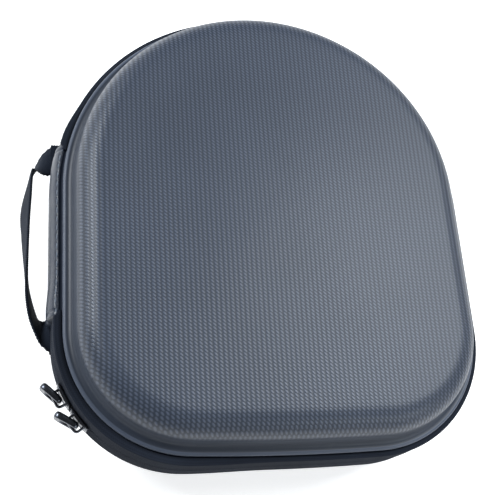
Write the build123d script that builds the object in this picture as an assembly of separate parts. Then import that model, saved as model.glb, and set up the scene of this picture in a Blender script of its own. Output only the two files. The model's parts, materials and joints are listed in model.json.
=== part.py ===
from build123d import *
import os
from math import asin, atan2, cos, degrees, hypot, radians, sin

# Headphone carrying case, closed and lying on its base shell. Millimetres.
# X runs across the case, with the spine and handle on the -X side, Y along it towards the rounded end,
# and Z up through its thickness. The origin is the middle of the base's flat underside.

# ---- plan outline, measured at the moulded lips
case_width = 206.0
case_length = 234.0
corner_radius = 59.3
flat_end_radius = 1222.0

# ---- moulded shells
base_depth = 24.0
lid_height = 23.0
band_height = 25.0
lip_width = 4.0
lip_thickness = 2.6
lip_round = 1.2
lip_root_fillet = 2.4
draft = 7.5
crown_fillet = 13.0
shell_wall = 3.2
lining_thickness = 0.8
seat_gap = 0.15

# ---- zip: woven tapes, coils and sliders
band_proud = 3.2
tape_thickness = 1.0
tape_round = 0.9
seam_gap = 1.2
tape_turn_in = 5.7
coil_width = 2.4
coil_height = 2.2
stitch_gap = 0.25
coil_end_gap = 0.5
binding_width = 3.0
binding_height = 3.1
binding_round = 0.7
slider_length = 11.5
slider_height = 8.4
slider_plate = 1.2
slider_a_angle = 206.0
slider_spacing = 1.65
rail_drop = 1.6
back_plate_rise = 1.6
post_thickness = 0.7
post_length = 2.4
post_root = 0.5
lid_swing_room = 1.35
bridge_span = 8.6
bridge_rise = 4.4
bridge_bar = 1.2
bridge_width = 2.6
bridge_round = 1.6
bridge_inner_round = 0.8
bridge_foot = 0.1
pull_length = 12.2
pull_width = 7.6
pull_thickness = 2.8
pull_round = 2.4
pull_edge_round = 0.6
pull_heel = 0.9
pull_eye_start = 0.8
pull_bar_length = 1.7
pull_bar_thickness = 1.8
pull_eye_length = 6.8
pull_eye_width = 4.0
pull_tilt = 15.0
pivot_rise = 1.9
pivot_inset = 1.65

# ---- spine: a padded strip that hinges the lid
spine_front_inset = 9.9
spine_rear_overrun = 27.5
spine_skin = 1.8
spine_edge = 1.8
tape_tuck = 8.0
spine_split = 0.3
spine_lining_inset = 2.0
stitch_length = 3.0
stitch_width = 0.7
stitch_proud = 0.35
stitch_inset = 1.6
stitch_count = 19
hinge_clearance = 0.25

# ---- webbing handle
strap_width = 17.0
strap_thickness = 1.3
front_anchor_overrun = 10.5
rear_anchor_inset = 4.0
tab_inner = 3.0
tab_gap = 0.05
slot_over = 0.5
slot_under = 0.1
strap_reach = 11.3
strap_out = 4.8
strap_root_gap = 1.0

# ---- pocket inside the lid
pocket_inset = 23.0
pocket_mouth_overrun = 10.0
pocket_rim = 3.6
pocket_rim_proud = 0.4
pocket_thickness = 1.2
pocket_elastic_width = 6.85

# ---- worked out from the values above
running_gap = 0.3
thread_gap = 0.02
near = 0.01
half_width = case_width / 2
corner_x = half_width - corner_radius
end_centre_y = -case_length / 2 + flat_end_radius
corner_y = end_centre_y - ((flat_end_radius - corner_radius) ** 2 - corner_x**2) ** 0.5
round_y = case_length / 2 - half_width
spine_front = corner_y + spine_front_inset
spine_rear = round_y + spine_rear_overrun
front_anchor = spine_front - front_anchor_overrun
rear_anchor = spine_rear - rear_anchor_inset
pocket_mouth = round_y + pocket_mouth_overrun
base_lip_z = base_depth
lid_lip_z = base_depth + band_height
seam_z = base_depth + band_height / 2
spine_in = band_proud + running_gap
spine_out = spine_in + spine_skin
hinge_x = -(half_width + spine_out + stitch_proud + hinge_clearance)
tape_in = band_proud - tape_thickness
strap_pivot_x = -(half_width + strap_out)
leg_low = stitch_gap
strap_z = base_lip_z + leg_low + tape_thickness / 2
far = 4 * case_length


def outline(offset):
    """The plan outline as a face, grown outwards by offset: every arc keeps its centre."""
    side = half_width + offset
    corner = corner_radius + offset
    join = atan2(corner_y - end_centre_y, corner_x)
    middle = join / 2
    on_corner = lambda a: (corner_x + corner * cos(a), corner_y + corner * sin(a))
    low_x, low_y = on_corner(join)
    mid_x, mid_y = on_corner(middle)
    edges = [
        ThreePointArc((low_x, low_y), (mid_x, mid_y), (side, corner_y)),
        Line((side, corner_y), (side, round_y)),
        ThreePointArc((side, round_y), (0, round_y + side), (-side, round_y)),
        Line((-side, round_y), (-side, corner_y)),
        ThreePointArc((-side, corner_y), (-mid_x, mid_y), (-low_x, low_y)),
        ThreePointArc((-low_x, low_y), (0, -case_length / 2 - offset), (low_x, low_y)),
    ]
    return make_face(Wire(edges))


def slab(offset, low, high):
    """The outline grown by offset, as a straight block from low to high."""
    return Pos(0, 0, low) * extrude(outline(offset), amount=high - low)


def ring(outer, inner, low, high):
    return slab(outer, low, high) - slab(inner, low - 1, high + 1)


def dome(offset, height, fillet_radius):
    """A drafted block on the outline with a rounded crown, as a mould makes it."""
    block = extrude(outline(offset), amount=height, taper=draft)
    return fillet(block.faces().sort_by(Axis.Z)[-1].edges(), fillet_radius)


def block(x0, x1, y0, y1, z0, z1):
    return Pos((x0 + x1) / 2, (y0 + y1) / 2, (z0 + z1) / 2) * Box(x1 - x0, y1 - y0, z1 - z0)


def beside_spine(front, rear):
    """Everything on the spine's side of the case between two stations along it."""
    return block(-far, -half_width / 2, front, rear, -far, far)


def side_point(y, offset):
    """The point on the -X side at station y, grown outwards, and the angle of its outward normal."""
    if y > round_y:
        radius = half_width + offset
        return -((radius**2 - (y - round_y) ** 2) ** 0.5), 180 - degrees(asin((y - round_y) / radius))
    if y < corner_y:
        radius = corner_radius + offset
        return (
            -corner_x - (radius**2 - (y - corner_y) ** 2) ** 0.5,
            180 + degrees(asin((corner_y - y) / radius)),
        )
    return -(half_width + offset), 180.0


# A half's pieces are drawn with z = 0 at its lip, rising towards its crown.
def on_lid(shape):
    return Pos(0, 0, lid_lip_z) * shape


def on_base(shape):
    return Pos(0, 0, base_lip_z) * mirror(shape, Plane.XY)


def level(edge, z):
    """True for an edge that lies flat at height z."""
    box = edge.bounding_box()
    return abs(box.min.Z - z) < near and abs(box.max.Z - z) < near


def moulded_shell(height):
    """Thermoformed foam shell: a flat lip, a drafted wall and a rounded crown of one wall."""
    lip = slab(0, 0, lip_thickness)
    rim = lip.edges().filter_by(lambda e: level(e, 0) or level(e, lip_thickness))
    lip = fillet(rim, lip_round)
    shell = lip + dome(-lip_width, height, crown_fillet)
    root = [e for e in shell.edges() if level(e, lip_thickness) and inside_lip(e)]
    shell = fillet(root, lip_root_fillet)
    hollow = dome(-lip_width - shell_wall, height - shell_wall, crown_fillet - shell_wall)
    return shell - hollow


def inside_lip(edge):
    """True for the edges where the lip meets the wall, which lie further in than the lip's own edge."""
    point = edge.position_at(0.5)
    reach = hypot(point.X, point.Y - round_y) if point.Y > round_y else abs(point.X)
    if point.Y < corner_y:
        reach = half_width - (corner_radius - hypot(abs(point.X) - corner_x, point.Y - corner_y))
        if abs(point.X) < corner_x:
            reach = half_width - (flat_end_radius - hypot(point.X, point.Y - end_centre_y))
    return reach < half_width - lip_round - 1


def lining(height):
    """Velour lining, pressed into the shell."""
    behind = shell_wall + seat_gap
    inside = behind + lining_thickness
    skin = dome(-lip_width - behind, height - behind, crown_fillet - behind)
    room = dome(-lip_width - inside, height - inside, crown_fillet - inside)
    return skin - room


def zip_tape():
    """Zip tape: an upright leg that forms the band, turned in under the lip where it is sewn."""
    low = -(band_height - seam_gap) / 2
    leg = ring(band_proud, tape_in, low, -stitch_gap)
    turned = ring(band_proud, -tape_turn_in, -stitch_gap - tape_thickness, -stitch_gap)
    tape = leg + turned
    top_edges = [e for e in tape.edges() if level(e, -stitch_gap) and outermost(e)]
    tape = fillet(top_edges, tape_round)
    return tape - beside_spine(spine_front + tape_tuck, spine_rear - tape_tuck)


def outermost(edge):
    point = edge.position_at(0.5)
    if point.Y > round_y:
        return hypot(point.X, point.Y - round_y) > half_width
    if point.Y > corner_y:
        return abs(point.X) > half_width
    return point.Y < -case_length / 2 or hypot(abs(point.X) - corner_x, point.Y - corner_y) > corner_radius


def zip_coil():
    """Nylon coil, as a plain bead sewn to the tape's inner face along the seam."""
    low = -(band_height - seam_gap) / 2
    outer = tape_in - seat_gap
    bead = ring(outer, outer - coil_width, low, low + coil_height)
    return bead - beside_spine(spine_front - coil_end_gap, spine_rear + coil_end_gap)


def edge_binding():
    """Binding tape round the inside, over the raw edges of the lip, tape and lining."""
    outer = -tape_turn_in - running_gap
    bead = ring(outer, outer - binding_width, -running_gap - binding_height, -running_gap)
    return fillet(bead.edges(), binding_round)


def spine_piece(inner, outer, front, rear, edge):
    """Half of one layer of the spine, from the fold line to its edge near the lip."""
    low = -(band_height - spine_split) / 2
    return ring(outer, inner, low, -edge) & beside_spine(front, rear)


def spine_stitches():
    """Lock stitches through the spine's long edge, each a short raised bar of thread."""
    stitches = []
    pitch = (spine_rear - spine_front - 2 * stitch_length) / (stitch_count - 1)
    for i in range(stitch_count):
        y = spine_front + stitch_length + i * pitch
        x, angle = side_point(y, spine_out + stitch_proud / 2 + thread_gap)
        bar = Box(stitch_proud, stitch_length, stitch_width)
        stitches.append(Pos(x, y, -spine_edge - stitch_inset) * Rot(0, 0, angle - 180) * bar)
    return Compound(children=stitches)


# ---- zip sliders, drawn about the corner's centre so that they follow the band round it
def sector(inner, outer, low, high, start, end):
    """A curved plate about the corner's centre, with inner and outer counted from the lip outline."""
    r0, r1 = corner_radius + inner, corner_radius + outer
    p = lambda r, a: (r * cos(radians(a)), r * sin(radians(a)))
    middle = (start + end) / 2
    edges = [
        ThreePointArc(p(r0, start), p(r0, middle), p(r0, end)),
        Line(p(r0, end), p(r1, end)),
        ThreePointArc(p(r1, end), p(r1, middle), p(r1, start)),
        Line(p(r1, start), p(r0, start)),
    ]
    return Pos(-corner_x, corner_y, low) * extrude(make_face(Wire(edges)), amount=high - low)


plate_in = band_proud + lid_swing_room
plate_out = plate_in + slider_plate
coil_in = tape_in - seat_gap - coil_width
slider_b_angle = slider_a_angle + degrees((slider_length + slider_spacing) / (corner_radius + plate_in))


def slider_body(angle):
    """Slider casting: an outer plate, a back plate and the post between them, wrapped round the base coil."""
    half = degrees(slider_length / 2 / (corner_radius + plate_in))
    start, end = angle - half, angle + half
    bottom, top = seam_z - slider_height / 2, seam_z + slider_height / 2
    outer = sector(plate_in, plate_out, bottom, top, start, end)
    rail = sector(band_proud + running_gap, plate_out, bottom, seam_z - rail_drop, start, end)
    back_out = coil_in - running_gap
    back_in = back_out - slider_plate
    hook_top = seam_z - seam_gap / 2 - coil_height - running_gap
    hook_low = hook_top - slider_plate
    back = sector(back_in, back_out, hook_low, seam_z + back_plate_rise, start, end)
    hook = sector(back_in, tape_in - running_gap, hook_low, hook_top, start, end)
    post_half = degrees(post_length / 2 / corner_radius)
    post = sector(back_out - post_root, plate_in + post_root, seam_z - post_thickness / 2,
                  seam_z + post_thickness / 2, angle - post_half, angle + post_half)
    return outer + rail + back + hook + post


def slider_frame(angle):
    """Local frame on the slider's outer plate: X back along the band towards the spine, Y up, Z outwards."""
    out = Vector(cos(radians(angle)), sin(radians(angle)), 0)
    along = Vector(sin(radians(angle)), -cos(radians(angle)), 0)
    origin = Vector(-corner_x, corner_y, seam_z) + out * (corner_radius + plate_out)
    return Plane(origin=origin, x_dir=along, z_dir=out)


def arch_block(span, width, rise, top_round):
    """A block that stands on the plate, with its two upper cross edges rounded."""
    arch = Box(span, width, rise, align=(Align.CENTER, Align.CENTER, Align.MIN))
    return fillet(arch.edges().filter_by(Axis.Y).group_by(Axis.Z)[-1], top_round)


def slider_bridge(angle):
    """The arched bridge that holds the pull."""
    arch = arch_block(bridge_span, bridge_width, bridge_rise, bridge_round)
    room = arch_block(bridge_span - 2 * bridge_bar, 2 * bridge_width, bridge_rise - bridge_bar,
                      bridge_inner_round)
    return slider_frame(angle).location * Pos(0, 0, bridge_foot) * (arch - Pos(0, 0, -near) * room)


def pull_pivot(angle):
    """Where the pull turns in its bridge, at the end away from the spine."""
    x = -(bridge_span / 2 - bridge_bar - pivot_inset)
    return slider_frame(angle).location * Pos(x, 0, pivot_rise)


def slider_pull(angle):
    """Chunky pull: an open frame round the bridge, a thin bar that turns in it, and a solid grip."""
    body = Box(pull_length, pull_width, pull_thickness, align=(Align.MIN, Align.CENTER, Align.CENTER))
    body = fillet(body.edges().filter_by(Axis.Z), pull_round)
    body = Pos(-pull_heel, 0, 0) * fillet(body.edges(), pull_edge_round)
    eye = Pos(pull_eye_start, 0, 0) * Box(pull_eye_length, pull_eye_width, 2 * pull_thickness,
                                          align=(Align.MIN, Align.CENTER, Align.CENTER))
    bar_centre = Pos(pull_eye_start - pull_bar_length / 2, 0, 0)
    bar_zone = bar_centre * Box(pull_bar_length, 2 * pull_width, 2 * pull_thickness)
    bar = body & bar_centre * Box(pull_bar_length, 2 * pull_width, pull_bar_thickness)
    return pull_pivot(angle) * Rot(0, -pull_tilt, 0) * ((body - bar_zone - eye) + bar)


# ---- handle
def strap_tab(anchor):
    """The webbing's sewn end, held flat between the base's lip and its tape."""
    half_width_of_strap, half_thick = strap_width / 2, strap_thickness / 2 - tab_gap
    return block(strap_pivot_x + strap_root_gap, -half_width + tab_inner, anchor - half_width_of_strap,
                 anchor + half_width_of_strap, strap_z - half_thick, strap_z + half_thick)


def tab_slot(anchor):
    """Room for a tab through the base's tape."""
    half_slot = strap_width / 2 + seat_gap
    return block(-far, -half_width + tab_inner + running_gap, anchor - half_slot, anchor + half_slot,
                 base_lip_z - slot_over, strap_z + strap_thickness / 2 + slot_under)


def strap_sections():
    """Sections along the strap: share of the way between the anchors, stand-off and drop as shares
    of the reach, the twist from lying flat to standing on edge, and the lean of the lower edge outwards."""
    return [
        (0.00, 0.00, 0.00, 0, 0),
        (0.03, 0.44, 0.09, 40, 0),
        (0.10, 0.80, 0.31, 84, 3),
        (0.26, 0.99, 0.27, 90, 12),
        (0.40, 1.01, 0.27, 90, 8),
        (0.68, 0.94, 0.31, 90, 0),
        (0.79, 0.82, 0.36, 88, -11),
        (0.89, 0.64, 0.42, 74, -13),
        (0.97, 0.34, 0.28, 38, -8),
        (1.00, 0.00, 0.00, 0, 0),
    ]


def handle_strap():
    """The free webbing: flat at its sewn ends, twisted on edge where the hand holds it."""
    rows = []
    for share, out, drop, twist, lean in strap_sections():
        centre = Vector(strap_pivot_x - out * strap_reach,
                        rear_anchor + share * (front_anchor - rear_anchor), strap_z - drop * strap_reach)
        t, s = radians(twist), radians(lean)
        across = Vector(-sin(s) * sin(t), cos(t), -cos(s) * sin(t))
        rows.append((centre, across))
    faces = []
    for i, (centre, across) in enumerate(rows):
        before, after = rows[max(i - 1, 0)][0], rows[min(i + 1, len(rows) - 1)][0]
        along = (after - before)
        if i in (0, len(rows) - 1):
            along = Vector(1, 0, 0) if i else Vector(-1, 0, 0)
        face_out = along.cross(across).normalized() * (strap_thickness / 2)
        half = across * (strap_width / 2)
        corners = [centre + half + face_out, centre - half + face_out, centre - half - face_out,
                   centre + half - face_out]
        faces.append(make_face(Polyline(*corners, close=True)))
    return loft(faces, ruled=True)


# ---- pocket in the lid
def pocket_parts():
    """A net panel across the narrow end of the lid, bound round its edge, with an elastic mouth."""
    top = lid_height - shell_wall - seat_gap - lining_thickness - running_gap
    low = top - pocket_thickness
    keep = block(-far, far, -far, pocket_mouth, -far, far)
    rim = ring(-pocket_inset, -pocket_inset - pocket_rim, low - pocket_rim_proud, top) & keep
    net = slab(-pocket_inset - pocket_rim - seat_gap, low, top) & keep
    mouth = pocket_mouth + seat_gap
    elastic = slab(-pocket_inset, low - pocket_rim_proud, top)
    elastic = elastic & block(-far, far, mouth, mouth + pocket_elastic_width, -far, far)
    return {"pocket_binding": rim, "pocket_net": net, "pocket_elastic": elastic}


def shell_half(name, place, height):
    """Every piece that the base and the lid both have, each drawn from its lip and put in place."""
    padding_front, padding_rear = spine_front + tape_tuck + running_gap, spine_rear - tape_tuck - running_gap
    lining_front, lining_rear = spine_front + spine_lining_inset, spine_rear - spine_lining_inset
    lining_out = tape_in - seat_gap
    lining_edge = stitch_gap + tape_thickness + seat_gap
    shapes = {
        f"{name}_shell": moulded_shell(height),
        f"{name}_lining": lining(height),
        f"{name}_zip_tape": zip_tape(),
        f"{name}_zip_coil": zip_coil(),
        f"{name}_edge_binding": edge_binding(),
        f"spine_cover_{name}_half": spine_piece(spine_in, spine_out, spine_front, spine_rear, spine_edge),
        f"spine_padding_{name}_half": spine_piece(tape_in, band_proud, padding_front, padding_rear, spine_edge),
        f"spine_lining_{name}_half": spine_piece(lining_out - lining_thickness, lining_out, lining_front,
                                                 lining_rear, lining_edge),
        f"spine_stitches_{name}": spine_stitches(),
    }
    return {node: place(shape) for node, shape in shapes.items()}


def build():
    nodes = shell_half("base", on_base, base_depth)
    nodes.update(shell_half("lid", on_lid, lid_height))
    for end, anchor in (("front", front_anchor), ("rear", rear_anchor)):
        nodes[f"handle_tab_{end}"] = strap_tab(anchor)
        nodes["base_zip_tape"] = nodes["base_zip_tape"] - tab_slot(anchor)
    nodes["handle_strap"] = handle_strap()
    nodes.update({name: on_lid(shape) for name, shape in pocket_parts().items()})
    for side, angle in (("a", slider_a_angle), ("b", slider_b_angle)):
        nodes[f"slider_{side}_body"] = slider_body(angle)
        nodes[f"slider_{side}_bridge"] = slider_bridge(angle)
        nodes[f"slider_{side}_pull"] = slider_pull(angle)
    return nodes


os.makedirs("parts", exist_ok=True)
for node_name, node_shape in build().items():
    export_step(node_shape, f"parts/{node_name}.step")
for side, angle in (("a", slider_a_angle), ("b", slider_b_angle)):
    at = pull_pivot(angle).position
    print(f"pull_{side} pivot", round(at.X, 3), round(at.Y, 3), round(at.Z, 3))
print("hinge_x", hinge_x, "seam_z", seam_z, "strap pivot", strap_pivot_x, strap_z)
print("corner centre", -corner_x, corner_y)
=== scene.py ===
"""The visible pieces of a zipped headphone case: embossed shells, woven zip tapes, a padded leatherette
spine, a webbing handle, plated sliders and a net pocket, each built round the packed model it rides on."""

import json
from math import asin, atan2, ceil, cos, degrees, exp, floor, hypot, pi, radians, sin, sqrt, tan

import bmesh
import bpy
from bpy.props import FloatProperty, FloatVectorProperty, PointerProperty
from mathutils import Matrix, Vector


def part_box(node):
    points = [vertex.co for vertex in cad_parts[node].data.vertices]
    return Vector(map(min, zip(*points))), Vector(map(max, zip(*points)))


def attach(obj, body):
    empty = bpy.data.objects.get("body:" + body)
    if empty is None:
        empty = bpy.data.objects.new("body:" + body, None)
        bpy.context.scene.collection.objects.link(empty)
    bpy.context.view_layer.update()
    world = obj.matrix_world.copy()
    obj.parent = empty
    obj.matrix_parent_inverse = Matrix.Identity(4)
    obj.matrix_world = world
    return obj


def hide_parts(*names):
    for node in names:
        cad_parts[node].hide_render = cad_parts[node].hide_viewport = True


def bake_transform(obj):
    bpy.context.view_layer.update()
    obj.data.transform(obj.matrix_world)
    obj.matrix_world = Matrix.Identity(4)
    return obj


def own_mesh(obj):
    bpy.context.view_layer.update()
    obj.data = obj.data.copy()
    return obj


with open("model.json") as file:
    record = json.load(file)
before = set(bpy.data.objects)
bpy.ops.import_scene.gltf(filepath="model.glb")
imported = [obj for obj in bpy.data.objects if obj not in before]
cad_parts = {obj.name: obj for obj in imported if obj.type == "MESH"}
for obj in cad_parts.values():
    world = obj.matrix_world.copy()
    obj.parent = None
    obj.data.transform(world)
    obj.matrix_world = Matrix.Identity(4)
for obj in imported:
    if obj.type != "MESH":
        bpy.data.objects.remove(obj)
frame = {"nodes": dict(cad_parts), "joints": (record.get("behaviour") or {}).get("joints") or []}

bl_info = {
    "name": "Headphone case",
    "version": (1, 0, 0),
    "blender": (4, 5, 0),
    "location": "3D View > Sidebar > Headphone case",
    "description": "Builds the visible pieces of a zipped headphone case on its packed model",
    "category": "Add Mesh",
}

MM = 0.001
joints = {joint["name"]: joint for joint in frame["joints"]}
lid_low, lid_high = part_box("lid_shell")
half_width, half_length = lid_high.x, lid_high.y
lid_lip, base_lip = lid_low.z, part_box("base_shell")[1].z
seam = (lid_lip + base_lip) / 2
spine_low, spine_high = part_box("spine_cover_base_half")
spine_front, spine_rear = spine_low.y, spine_high.y
corner_centre = Vector(joints["slider_a_travel"]["pos_m"])
strap_pivot = Vector(joints["handle_swing"]["pos_m"])


def linear(colour):
    """A hex sRGB colour as linear red, green and blue."""
    parts = [int(colour[i:i + 2], 16) / 255 for i in (1, 3, 5)]
    return [c / 12.92 if c <= 0.04045 else ((c + 0.055) / 1.055) ** 2.4 for c in parts]


def length(name, description, default):
    """A length property, given in millimetres and kept in metres."""
    return FloatProperty(name=name, description=description, default=default * MM, unit="LENGTH", precision=5)


def colour(name, description, default):
    return FloatVectorProperty(name=name, description=description, default=linear(default), subtype="COLOR",
                               size=3, min=0, max=1)


class CaseSizes(bpy.types.PropertyGroup):
    """Sizes of the visible pieces, in the packed model's frame."""
    flat_end_radius: length("Flat end radius", "Radius of the slightly bowed short end", 1222)
    lip_width: length("Lip width", "From the lip's edge in to the foot of the wall", 4)
    lip_bead: length("Lip bead", "Radius of the rounded lip", 1.45)
    root_radius: length("Root radius", "Hollow between the lip and the wall", 3)
    crown_radius: length("Crown radius", "Rounding between the wall and the top", 13)
    crown_rise: length("Crown rise", "How far the middle of the lid stands above its crown", 1.8)
    wall: length("Shell wall", "Thickness of the moulded foam shell", 3.2)
    lining: length("Lining", "Thickness of the velour lining", 0.8)
    band_proud: length("Band", "How far the zip band stands out past the lips", 2.75)
    band_bulge: length("Band bulge", "How much further the band stands out by the spine and the sliders", 1.4)
    spine_shift: length("Spine shift", "How far the sewn spine lies in front of the packed one", 3.5)
    strap_shift: length("Strap shift", "How far the webbing's ends lie behind the packed tabs", 3.8)
    rib_pitch: length("Rib pitch", "Distance between the ribs woven along the zip tape", 1.35)
    coil_pitch: length("Coil pitch", "Distance between the turns of the zip coil", 1.4)
    hem_width: length("Hem", "Width of the folded hem at each end of the spine", 3.2)
    stitch_pitch: length("Stitch pitch", "Distance between stitches", 4.6)
    strap_width: length("Strap width", "Width of the webbing", 17)
    strap_thickness: length("Strap thickness", "Thickness of the webbing", 1.5)
    pick_pitch: length("Pick pitch", "Distance between the weft picks of the webbing", 1.3)
    pivot_setback: length("Pull setback", "From the middle of a slider back to its pull's pivot", 1.45)
    draft: FloatProperty(name="Draft", description="Slope of the moulded walls", default=radians(7.5),
                         subtype="ANGLE")
    pull_tilt: FloatProperty(name="Pull tilt", description="How far the pulls stand off the band",
                             default=radians(21), subtype="ANGLE")


class CaseColours(bpy.types.PropertyGroup):
    """Colours of the finishes."""
    skin: colour("Skin", "Raised dashes of the embossed skin", "#464E5D")
    # Painted shade: this darker colour fills the hollows between the dashes and the smooth skin of the walls.
    skin_gap: colour("Skin gaps", "Hollows between the dashes", "#282F3B")
    leatherette: colour("Leatherette", "Spine", "#232B39")
    tape: colour("Zip tape", "Woven zip tape", "#1C212B")
    coil: colour("Coil", "Nylon zip coil", "#24272D")
    webbing: colour("Webbing", "Handle", "#1C222D")
    velour: colour("Velour", "Lining", "#3A3D44")
    binding: colour("Binding", "Grosgrain binding and elastic", "#2A2D33")
    net: colour("Net", "Pocket net", "#2E3138")
    thread: colour("Thread", "Sewing thread", "#656D79")
    metal: colour("Metal", "Plated sliders", "#4B4E55")
    floor: colour("Floor", "Studio floor", "#F6F6F6")


# ---- the plan outline and the ways along it
class Outline:
    """The plan outline at the lips. A place on it is counted in metres, counter-clockwise from the foot
    of the right side."""

    def __init__(self, flat_end_radius):
        self.corner_x, self.corner_y = -corner_centre.x, corner_centre.y
        self.corner_radius = half_width - self.corner_x
        self.round_y = half_length - half_width
        self.middle = Vector((0.0, 0.0))
        end_centre = flat_end_radius - half_length
        side = self.round_y - self.corner_y
        turn = atan2(end_centre - self.corner_y, self.corner_x)
        self.runs = [
            (side, Vector((half_width, self.corner_y)), None, Vector((0, 1))),
            (half_width * pi, Vector((0, self.round_y)), half_width, 0.0),
            (side, Vector((-half_width, self.round_y)), None, Vector((0, -1))),
            (self.corner_radius * turn, Vector((-self.corner_x, self.corner_y)), self.corner_radius, pi),
            (flat_end_radius * (pi - 2 * turn), Vector((0, end_centre)), flat_end_radius, pi + turn),
            (self.corner_radius * turn, Vector((self.corner_x, self.corner_y)), self.corner_radius, -turn),
        ]
        self.total = sum(run[0] for run in self.runs)

    def place(self, s):
        """The point at s and its outward direction."""
        s %= self.total
        for size, start, radius, heading in self.runs:
            if s <= size:
                break
            s -= size
        if radius is None:
            return start + heading * s, Vector((heading.y, -heading.x))
        angle = heading + s / radius
        out = Vector((cos(angle), sin(angle)))
        return start + out * radius, out

    def left(self, y):
        """The place on the left side at height y of the plan."""
        start = self.runs[0][0]
        if y > self.round_y:
            return start + half_width * (pi - asin((y - self.round_y) / half_width))
        start += half_width * pi
        if y >= self.corner_y:
            return start + self.round_y - y
        return start + self.runs[2][0] + self.corner_radius * asin((self.corner_y - y) / self.corner_radius)

    def point(self, s, offset, z, inward=0.0):
        """A point offset outwards from the outline, or a share of the way in to the middle of the plan."""
        at, out = self.place(s)
        at = (at + out * offset).lerp(self.middle, inward)
        return Vector((at.x, at.y, z))


class Half:
    """One half of the case. Heights in it are counted from its lip towards its crown."""

    def __init__(self, name, lip, sign, height, rise):
        self.name, self.lip, self.sign, self.height, self.rise = name, lip, sign, height, rise

    def z(self, height):
        return self.lip + self.sign * height


def halves():
    rise = bpy.context.scene.case_sizes.crown_rise
    underside_hollow = 0.5 * MM
    return [Half("base", base_lip, -1, base_lip, -underside_hollow),
            Half("lid", lid_lip, 1, lid_high.z - lid_lip, rise)]


def outline():
    return Outline(bpy.context.scene.case_sizes.flat_end_radius)


def spread(start, end, count):
    """count + 1 values from start to end."""
    return [start + (end - start) * i / count for i in range(count + 1)]


def along(start, end, step):
    return spread(start, end, max(1, ceil((end - start) / step)))


def smooth(edge0, edge1, value):
    t = min(max((value - edge0) / (edge1 - edge0), 0), 1)
    return t * t * (3 - 2 * t)


def arc(centre, radius, start, end, count):
    """Points (offset, height) on an arc, from angle start to angle end in degrees."""
    return [(centre[0] + radius * cos(radians(a)), centre[1] + radius * sin(radians(a)))
            for a in spread(start, end, count)]


def squared(value, power):
    """A sine or cosine pushed towards 1 or -1, which squares a circle off."""
    return abs(value) ** power * (1 if value > 0 else -1)


def superellipse(half_x, half_y, power, angle):
    """The radius of a rounded rectangle in a direction."""
    return (abs(cos(angle) / half_x) ** power + abs(sin(angle) / half_y) ** power) ** (-1 / power)


def oval_ring(centre, side, up, half_x, half_y, power, count):
    """A ring of points on a rounded rectangle."""
    ring = []
    for angle in spread(0, 2 * pi, count)[:-1]:
        r = superellipse(half_x, half_y, power, angle)
        ring.append(centre + side * r * cos(angle) + up * r * sin(angle))
    return ring


# ---- making meshes
def loft(rows, closed_rows=False, closed_path=False, emboss_shade_and_highlight_weights=None):
    """A grid of faces laid through rows of points, with a map in metres along and across it."""
    columns, count = len(rows[0]), len(rows)
    wide, long = columns + closed_rows, count + closed_path
    bm = bmesh.new()
    uv = bm.loops.layers.uv.new("surface")
    bmesh.ops.create_grid(bm, x_segments=wide - 1, y_segments=long - 1, size=0.5)
    middle = rows[count // 2]
    across, down = [0.0], [0.0]
    for i in range(1, wide):
        across.append(across[-1] + (middle[i % columns] - middle[i - 1]).length)
    widest = max(range(columns), key=lambda c: (rows[0][c] - rows[count // 2][c]).length)
    for j in range(1, long):
        down.append(down[-1] + (rows[j % count][widest] - rows[j - 1][widest]).length)
    bm.verts.index_update()
    for face in bm.faces:
        for loop in face.loops:
            loop[uv].uv = (down[loop.vert.index // wide], across[loop.vert.index % wide])
    # The emboss layer also carries the painted shade of smooth skin and the painted highlight of the lip.
    emboss_shade_and_highlight_weight = bm.verts.layers.float.new("emboss") if emboss_shade_and_highlight_weights else None
    for vert in bm.verts:
        row, column = divmod(vert.index, wide)
        vert.co = rows[row % count][column % columns]
        if emboss_shade_and_highlight_weights:
            vert[emboss_shade_and_highlight_weight] = emboss_shade_and_highlight_weights[column % columns]
    bmesh.ops.remove_doubles(bm, verts=bm.verts, dist=1e-6)
    open_edges = [edge for edge in bm.edges if edge.is_boundary]
    if closed_rows and not closed_path and open_edges:
        bmesh.ops.holes_fill(bm, edges=open_edges, sides=0)
    bmesh.ops.recalc_face_normals(bm, faces=bm.faces)
    return bm


def piece(name, bm, body, paint, replaces=(), crease=50):
    """Turns a mesh into a finished piece that rides on a body. crease is the least angle, in degrees, that
    stays a sharp edge."""
    mesh = bpy.data.meshes.new(name)
    bm.to_mesh(mesh)
    bm.free()
    mesh.polygons.foreach_set("use_smooth", [True] * len(mesh.polygons))
    mesh.set_sharp_from_angle(angle=radians(crease))
    mesh.materials.append(finish(paint))
    obj = bpy.data.objects.new(name, mesh)
    bpy.context.scene.collection.objects.link(obj)
    if replaces:
        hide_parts(*replaces)
    if body:
        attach(obj, body)
    return obj


def join(meshes):
    """Several bmeshes as one."""
    whole = bmesh.new()
    for bm in meshes:
        part = bpy.data.meshes.new("part")
        bm.to_mesh(part)
        bm.free()
        whole.from_mesh(part)
        bpy.data.meshes.remove(part)
    return whole


def bead(long, wide, tall, frame_of):
    """A small rounded bar, such as one stitch, placed by a matrix."""
    bm = bmesh.new()
    bmesh.ops.create_uvsphere(bm, u_segments=8, v_segments=5, radius=0.5)
    bmesh.ops.rotate(bm, verts=bm.verts, cent=(0, 0, 0), matrix=Matrix.Rotation(pi / 2, 3, "Y"))
    bmesh.ops.scale(bm, verts=bm.verts, vec=(long, wide, tall))
    bmesh.ops.transform(bm, verts=bm.verts, matrix=frame_of)
    return bm


def frame_at(origin, x_axis, y_axis):
    """A matrix with its X and Y along two directions, at a point."""
    x_axis = x_axis.normalized()
    z_axis = x_axis.cross(y_axis).normalized()
    matrix = Matrix((x_axis, z_axis.cross(x_axis), z_axis)).transposed().to_4x4()
    matrix.translation = origin
    return matrix


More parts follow.
